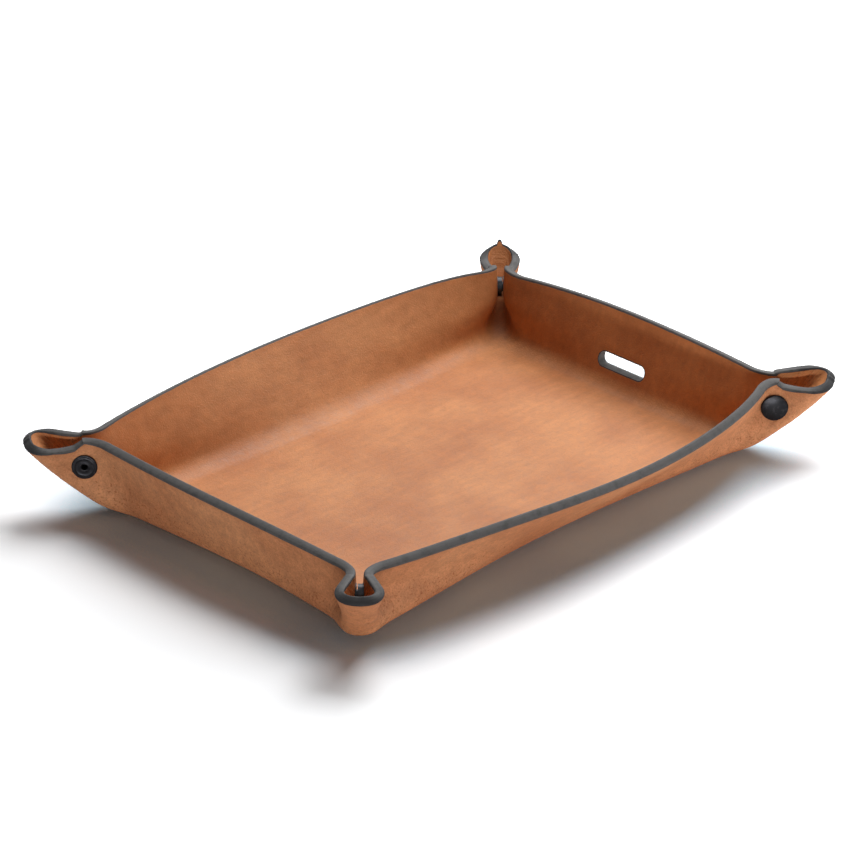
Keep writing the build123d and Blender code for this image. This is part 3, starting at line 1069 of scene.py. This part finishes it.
class TurnedPart:
    """A part turned about an axis, made by a node tree from its half profile."""

    SEGMENTS = 72
    INPUTS = {
        "Segments": "NodeSocketInt",
        "Centre": "NodeSocketVector",
        "Rotation": "NodeSocketRotation",
        "Finish": "NodeSocketMaterial",
    }

    def __init__(self) -> None:
        """Builds the tree that all turned parts share."""
        tree = bpy.data.node_groups.new("turned_part", "GeometryNodeTree")
        tree.interface.new_socket("Profile", in_out="INPUT", socket_type="NodeSocketGeometry")
        self.inputs = {
            name: tree.interface.new_socket(name, in_out="INPUT", socket_type=kind).identifier
            for name, kind in self.INPUTS.items()
        }
        tree.interface.new_socket("Mesh", in_out="OUTPUT", socket_type="NodeSocketGeometry")
        nodes = Nodes(tree)
        given = nodes.add("NodeGroupInput").outputs
        count = nodes.add("GeometryNodeAttributeDomainSize", {"Geometry": given["Profile"]}, component="MESH")
        around = nodes.math("ADD", given["Segments"], 1.0)
        counts = {"Vertices X": count.outputs["Point Count"], "Vertices Y": around}
        grid = nodes.add("GeometryNodeMeshGrid", counts)
        index = nodes.add("GeometryNodeInputIndex").outputs[0]
        column = nodes.math("FLOOR", nodes.math("DIVIDE", nodes.math("ADD", index, 0.5), around))
        step = nodes.math("SUBTRACT", index, nodes.product(column, around))
        turn = nodes.math("DIVIDE", nodes.product(step, math.tau), given["Segments"])
        sample = nodes.add("GeometryNodeSampleIndex", {"Geometry": given["Profile"]}, data_type="FLOAT_VECTOR")
        tree.links.new(nodes.add("GeometryNodeInputPosition").outputs[0], sample.inputs["Value"])
        tree.links.new(column, sample.inputs["Index"])
        profile = nodes.add("ShaderNodeSeparateXYZ", {0: sample.outputs[0]}).outputs
        ways = {"X": "COSINE", "Y": "SINE"}
        spun = {name: nodes.product(profile["X"], nodes.math(way, turn)) for name, way in ways.items()}
        spun = nodes.add("ShaderNodeCombineXYZ", {**spun, "Z": profile["Z"]}).outputs[0]
        moved = nodes.add("GeometryNodeSetPosition", {"Geometry": grid.outputs["Mesh"], "Position": spun})
        closed = nodes.add("GeometryNodeMergeByDistance", {"Geometry": moved.outputs[0], "Distance": SAME_PLACE})
        stand = {"Translation": given["Centre"], "Rotation": given["Rotation"]}
        placed = nodes.add("GeometryNodeTransform", {"Geometry": closed.outputs[0], **stand})
        real = nodes.add("GeometryNodeRealizeInstances", {"Geometry": placed.outputs[0]})
        dressed = nodes.add("GeometryNodeSetMaterial", {"Geometry": real.outputs[0], "Material": given["Finish"]})
        nodes.add("NodeGroupOutput", {"Mesh": dressed.outputs[0]})
        self.tree = tree

    def make(self, name: str, profile: list, place: Matrix, finish: bpy.types.Material) -> bpy.types.Object:
        """Turns a profile into a closed part.

        Args:
            name: Name of the part.
            profile: Radii and heights along the axis, from one pole or round to the start.
            place: The axis's place, Z along it.
            finish: The part's material.

        Returns:
            The finished object.
        """
        mesh = bpy.data.meshes.new(name)
        points = [(radius * MILLIMETRE, 0, height * MILLIMETRE) for radius, height in profile]
        mesh.from_pydata(points, [(i, i + 1) for i in range(len(points) - 1)], [])
        thing = add_object(name, mesh)
        modifier = thing.modifiers.new("turned_part", "NODES")
        modifier.node_group = self.tree
        values = (self.SEGMENTS, tuple(place.translation), tuple(place.to_euler()), finish)
        for identifier, value in zip(self.inputs.values(), values):
            modifier[identifier] = value
        graph = bpy.context.evaluated_depsgraph_get()
        made = bpy.data.meshes.new_from_object(thing.evaluated_get(graph))
        bpy.data.objects.remove(thing)
        working = bmesh.new()
        working.from_mesh(made)
        bmesh.ops.remove_doubles(working, verts=working.verts, dist=SAME_PLACE)
        bmesh.ops.recalc_face_normals(working, faces=working.faces)
        working.to_mesh(made)
        working.free()
        made.name = name
        return finished_object(name, made, METAL_SHARP)


@dataclass(frozen=True)
class StudSizes:
    """Sizes of a press stud, along its axis from the middle of the pinch."""

    inner_face: float = 1.6
    outer_face: float = 5.4
    socket_depth: float = 2.3
    cap_radius: float = 5.75
    cap_rise: float = 1.9
    cap_lip: float = 0.95
    lip_sink: float = 0.1
    lip_radii: tuple = (0.5, 0.52)
    dome_shares: tuple = (0.93, 0.86, 0.76, 0.66, 0.55, 0.44, 0.33, 0.22, 0.12, 0.05)
    dome_power: float = 2.3
    stem_radius: float = 1.6
    head_radius: float = 2.3
    head_reach: float = 0.8
    head_edge: float = 0.12
    head_depth: float = 0.3
    flat_share: float = 0.8
    post_radius: float = 5.25
    post_rise: float = 0.9
    tube_reach: float = 0.9
    rim_radii: tuple = (0.52, 0.5)
    bore_radius: float = 1.25
    bore_edge: float = 0.42
    bore_edge_level: float = 0.12
    bore_edge_rise: float = 0.3
    dish_radius: float = 3.9
    dish_depth: float = 0.55
    dish_edge: tuple = (0.55, 0.42)
    dish_radii: tuple = (0.7, 0.42)
    dish_steps: tuple = ((1.25, 0.0), (0.62, 0.1))
    sunk: float = 0.3
    seat_share: float = 0.86

    def arc(self, centre: tuple, radii: tuple, angles: tuple, steps: int) -> list:
        """Points on part of an ellipse.

        Args:
            centre: Its centre, from the axis and along it.
            radii: Its two radii.
            angles: The first and the last angle in degrees.
            steps: How many steps there are.

        Returns:
            The points.
        """
        turns = [math.radians(between(angles, step / steps)) for step in range(steps + 1)]
        return [(centre[0] + radii[0] * math.cos(a), centre[1] + radii[1] * math.sin(a)) for a in turns]

    def cap_profile(self) -> list:
        """The domed cap with its rolled lip, and its stem with the rivet's head."""
        seat = self.outer_face - self.sunk
        lip = (self.cap_radius - self.lip_radii[0], self.outer_face + self.cap_lip / 2 - self.lip_sink)
        top = self.outer_face + self.cap_rise
        fall = self.cap_rise - self.cap_lip
        head = self.inner_face - self.head_reach
        wide, narrow, stop = self.head_radius, self.stem_radius, head + self.head_depth
        return (
            [(0, head), (wide * self.flat_share, head), (wide, head + self.head_edge), (wide, stop)]
            + [(narrow, stop), (narrow, seat), (self.cap_radius * self.seat_share, seat)]
            + self.arc(lip, self.lip_radii, (-80, 62), 9)
            + [(self.cap_radius * share, top - fall * share**self.dome_power) for share in self.dome_shares]
            + [(0, top)]
        )

    def post_profile(self) -> list:
        """The hollow post: a dished flange with a rolled rim round an open bore, and its tube."""
        seat = self.outer_face - self.sunk
        face = self.outer_face + self.post_rise
        floor = face - self.dish_depth
        end = self.inner_face - self.tube_reach
        bore, tube = self.bore_radius, self.stem_radius
        rim = (self.post_radius - self.rim_radii[0], face - self.rim_radii[1])
        dish = (self.dish_radius - self.dish_edge[0], floor + self.dish_edge[1])
        edge = (bore + self.bore_edge, floor + self.bore_edge_level)
        return (
            [(bore, end), (tube, end), (tube, seat), (self.post_radius * self.seat_share, seat)]
            + self.arc(rim, self.rim_radii, (-70, 112), 10)
            + self.arc(dish, self.dish_radii, (35, -70), 5)
            + [(bore + out, floor + up) for out, up in self.dish_steps]
            + self.arc(edge, (self.bore_edge, self.bore_edge_rise), (60, 180), 5)
            + [(bore, end)]
        )


@dataclass
class PressStud:
    """The press stud of one corner: a domed cap and a hollow post round the frame's own inner parts."""

    sizes: StudSizes
    corner: Corner
    turning: TurnedPart
    black: bpy.types.Material
    steel: bpy.types.Material

    def build(self) -> None:
        """Builds the cap and the post, and dresses the frame's own parts of the stud."""
        side_x, side_y = self.corner.value
        sizes = self.sizes
        name = self.corner.name.lower()
        sheet_low, sheet_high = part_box(f"snap_socket_{name}")
        outward = Vector((side_x, side_y, 0)).normalized()
        across = Vector((-side_x, side_y, 0)).normalized()
        socket_middle = (sheet_low + sheet_high) / 2
        offset = (sizes.inner_face - sizes.socket_depth / 2) * MILLIMETRE
        middle = outward * socket_middle.dot(outward) + across * (socket_middle.dot(across) - offset)
        middle.z = STUD_LEVEL * MILLIMETRE
        for part, way, profile, wall in (
            ("cap", across, sizes.cap_profile(), Wall.BACK if side_y > 0 else Wall.FRONT),
            ("post", -across, sizes.post_profile(), Wall.RIGHT if side_x > 0 else Wall.LEFT),
        ):
            spin = way.to_track_quat("Z", "Y").to_matrix().to_4x4()
            place = Matrix.Translation(middle) @ spin
            piece = self.turning.make(f"press_{part}_{name}", profile, place, self.black)
            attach(piece, self.corner.ear_body(wall))
            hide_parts(f"snap_{part}_{name}")
        for part, finish in (("socket", self.black), ("stud", self.black), ("spring", self.steel)):
            for slot in frame["nodes"][f"snap_{part}_{name}"].material_slots:
                slot.material = finish


@dataclass(frozen=True)
class Lamp:
    """A rectangular lamp that looks at the tray, in metres, its level the light that reaches the tray."""

    name: str
    way: tuple
    distance: float
    size: tuple
    level: float

    def build(self) -> None:
        """Builds the lamp, hidden from the camera."""
        lamp = bpy.data.lights.new(self.name, "AREA")
        lamp.shape = "RECTANGLE"
        lamp.size, lamp.size_y = self.size
        lamp.energy = self.level * (math.pi * self.distance) ** 2
        thing = add_object(self.name, lamp)
        way = Vector(self.way).normalized()
        turn = way.to_track_quat("Z", "Y").to_matrix().to_4x4()
        thing.matrix_world = Matrix.Translation(way * self.distance) @ turn
        thing.visible_camera = False


@dataclass(frozen=True)
class Studio:
    """The camera, the lamps, the floor and the white backdrop, in metres and degrees."""

    target: tuple = (0.03352, 0.03301, -0.0023)
    distance: float = 2.00989
    elevation: float = 26.59
    azimuth: float = -45.86
    roll: float = 0.89
    lens: float = 199.43
    sensor: float = 36.0
    clip_end: float = 20.0
    lamps: tuple = (
        Lamp("key", (0.60, 0.22, 0.88), 0.8, (0.62, 0.62), 1.35),
        Lamp("front_card", (-0.70, -0.70, 0.023), 1.3, (0.6, 0.05), 0.42),
        Lamp("right_card", (0.72, -0.69, 0.055), 0.55, (0.35, 0.05), 0.3),
    )
    world_strength: float = 0.06
    floor_size: float = 6.0
    floor_colour: tuple = (0.88, 0.88, 0.88, 1)
    # Seen by the camera the floor takes the lit colour, going to the shaded colour where the tray is near: painted
    # shade, bluer to offset the leather's brown bounce
    floor_lit_colour: tuple = (1.44, 1.46, 1.48, 1)
    floor_shaded_colour: tuple = (0.62, 0.86, 1.02, 1)
    floor_shade_reach: float = 0.045
    floor_shade_samples: int = 8
    floor_shade_border: tuple = (0.45, 0.95)
    floor_reach: tuple = (0.20, 0.155, 1.0)
    floor_lift_border: tuple = (0.85, 1.6)
    floor_far_lift: float = 0.6

    def build_camera(self) -> None:
        """Builds the camera at the photograph's viewing angle."""
        lens = bpy.data.cameras.new("camera")
        lens.lens = self.lens
        lens.sensor_width = self.sensor
        lens.clip_end = self.clip_end
        camera = add_object("camera", lens)
        turn = Matrix.Identity(4)
        for angle, axis in ((self.azimuth, "Z"), (90 - self.elevation, "X"), (self.roll, "Z")):
            turn = turn @ Matrix.Rotation(math.radians(angle), 4, axis)
        back = turn.to_3x3() @ Vector((0, 0, 1))
        camera.matrix_world = Matrix.Translation(Vector(self.target) + back * self.distance) @ turn
        bpy.context.scene.camera = camera

    def build_lights(self) -> None:
        """Builds the lamps and the world's fill with its white backdrop."""
        for lamp in self.lamps:
            lamp.build()
        world = bpy.data.worlds.new("studio")
        bpy.context.scene.world = world
        world.use_nodes = True
        world.node_tree.nodes.clear()
        nodes = Nodes(world.node_tree)
        rays = nodes.add("ShaderNodeLightPath").outputs
        seen = nodes.math("MAXIMUM", rays["Is Camera Ray"], rays["Is Glossy Ray"])
        seen = nodes.math("MAXIMUM", seen, rays["Is Transmission Ray"])
        strength = nodes.spread(seen, (0.0, 1.0), (self.world_strength, 1.0))
        back = nodes.add("ShaderNodeBackground", {"Color": (1, 1, 1, 1), "Strength": strength})
        nodes.add("ShaderNodeOutputWorld", {"Surface": back.outputs[0]})

    def build_floor(self) -> None:
        """Builds the pale floor, which keeps the tray's shadow; near the tray the colour the camera sees is darkened
        with painted shade.
        """
        half = self.floor_size / 2
        mesh = bpy.data.meshes.new("studio_floor")
        corners = [(-half, -half, 0), (half, -half, 0), (half, half, 0), (-half, half, 0)]
        mesh.from_pydata(corners, [], [(0, 1, 2, 3)])
        floor = add_object("studio_floor", mesh)
        material, nodes = new_material("studio_floor")
        seen = nodes.add("ShaderNodeLightPath").outputs["Is Camera Ray"]
        place = {0: nodes.place(), 1: self.floor_reach}
        scaled = nodes.add("ShaderNodeVectorMath", place, operation="DIVIDE").outputs[0]
        away = nodes.add("ShaderNodeVectorMath", {0: scaled}, operation="LENGTH").outputs["Value"]
        lift = nodes.product(seen, nodes.spread(away, self.floor_lift_border, (0, self.floor_far_lift)))
        # Painted shade: ambient occlusion near the tray darkens and blues the floor's colour seen by the camera
        reach = {"Distance": self.floor_shade_reach}
        near = nodes.add("ShaderNodeAmbientOcclusion", reach, samples=self.floor_shade_samples).outputs["AO"]
        near = nodes.spread(near, self.floor_shade_border)
        seen_with_painted_shade = nodes.mix(near, self.floor_shaded_colour, self.floor_lit_colour)
        paper = nodes.add("ShaderNodeBsdfDiffuse", {"Color": nodes.mix(seen, self.floor_colour, seen_with_painted_shade)})
        glow = nodes.add("ShaderNodeEmission", {"Strength": lift})
        both = nodes.add("ShaderNodeAddShader", {0: paper.outputs[0], 1: glow.outputs[0]})
        nodes.add("ShaderNodeOutputMaterial", {"Surface": both.outputs[0]})
        mesh.materials.append(material)

    def build(self) -> None:
        """Builds the whole studio."""
        self.build_camera()
        self.build_lights()
        self.build_floor()
        bpy.context.scene.view_settings.view_transform = "Standard"


GRAIN_SIDE = LeatherFinish(
    name="leather_grain_side",
    deep=(0.38, 0.125, 0.04, 1),
    tan=(0.56, 0.22, 0.078, 1),
    pale=(0.64, 0.28, 0.112, 1),
    speck=(0.16, 0.05, 0.02, 1),
    speck_share=0.1,
    roughness=0.5,
    roughness_spread=0.08,
    specular=0.22,
    grain_scale=1500,
    grain_depth=0.00006,
    mottle_share=0.08,
    streak_share=0.07,
    rib_share=0.4,
    nap_share=0.04,
)
OUTER_SIDE = LeatherFinish(
    name="leather_outer_side",
    deep=(0.42, 0.155, 0.066, 1),
    tan=(0.55, 0.235, 0.108, 1),
    pale=(0.62, 0.29, 0.14, 1),
    speck=(0.22, 0.05, 0.015, 1),
    speck_share=0.5,
    roughness=0.68,
    roughness_spread=0.08,
    specular=0.15,
    grain_scale=2200,
    grain_depth=0.00008,
    mottle_share=0.14,
    streak_share=0.05,
    rib_share=0.04,
    nap_share=0.13,
)
BLACKENED = MetalFinish("blackened_metal", (0.02, 0.02, 0.023, 1), (0.07, 0.068, 0.072, 1), 0.5, 0.34, 0.85)
SPRING_STEEL = MetalFinish("spring_steel", (0.55, 0.55, 0.57, 1), (0.4, 0.4, 0.42, 1), 0.4, 0.28, 1.0)

LONG_WALL = WallSizes(
    foot_reach=71.6, rim_reach=94.2, rim_height=31.0, pinch_start=1.4, pinch_rate=0.42, floor_leg=7.0, foot_bow=1.15
)
SHORT_WALL = WallSizes(
    foot_reach=112.8, rim_reach=122.8, rim_height=34.8, pinch_start=2.0, pinch_rate=0.37, floor_leg=6.4, foot_bow=0.8
)
CORNER_SHAPES = {
    Corner.FRONT_LEFT: CornerShape(
        neck=31.8,
        long_strip=32.5,
        short_strip=32.5,
        tip=32.0,
        long_flare=8.0,
        short_flare=5.0,
        foot_reach=16.9,
        prow_sag=-0.001,
        long_sway=-2.2,
        late_bow=0.1,
    ),
    Corner.FRONT_RIGHT: CornerShape(
        neck=34.3,
        long_strip=31.8,
        short_strip=35.2,
        tip=33.9,
        long_flare=2.6,
        short_flare=2.6,
        foot_reach=12.0,
        long_sway=2.2,
        late_bow=0.18,
    ),
    Corner.BACK_RIGHT: CornerShape(neck=32.3, long_strip=28.8, short_strip=28.6, tip=34.0, late_bow=0.3),
    Corner.BACK_LEFT: CornerShape(
        neck=33.9, long_strip=32.6, short_strip=30.4, tip=31.9, tip_reach=40.3, late_bow=0.0
    ),
}


def main() -> None:
    """Builds the tray's leather, its press studs and the studio round it."""
    sheet = LeatherSheet(
        grid=SheetGrid(),
        ear=EarSizes(),
        shapes=CORNER_SHAPES,
        inside=GRAIN_SIDE.material(),
        outside=OUTER_SIDE.material(),
        slot=SlotSizes(),
    )
    sheet.build()
    turning = TurnedPart()
    black, steel = BLACKENED.material(), SPRING_STEEL.material()
    for corner in Corner:
        PressStud(StudSizes(), corner, turning, black, steel).build()
        log.info("press stud of the %s corner built", corner.name.lower())
    Studio().build()
    log.info("studio built")


if __name__ == "__main__":
    logging.basicConfig(level=logging.INFO)
    main()
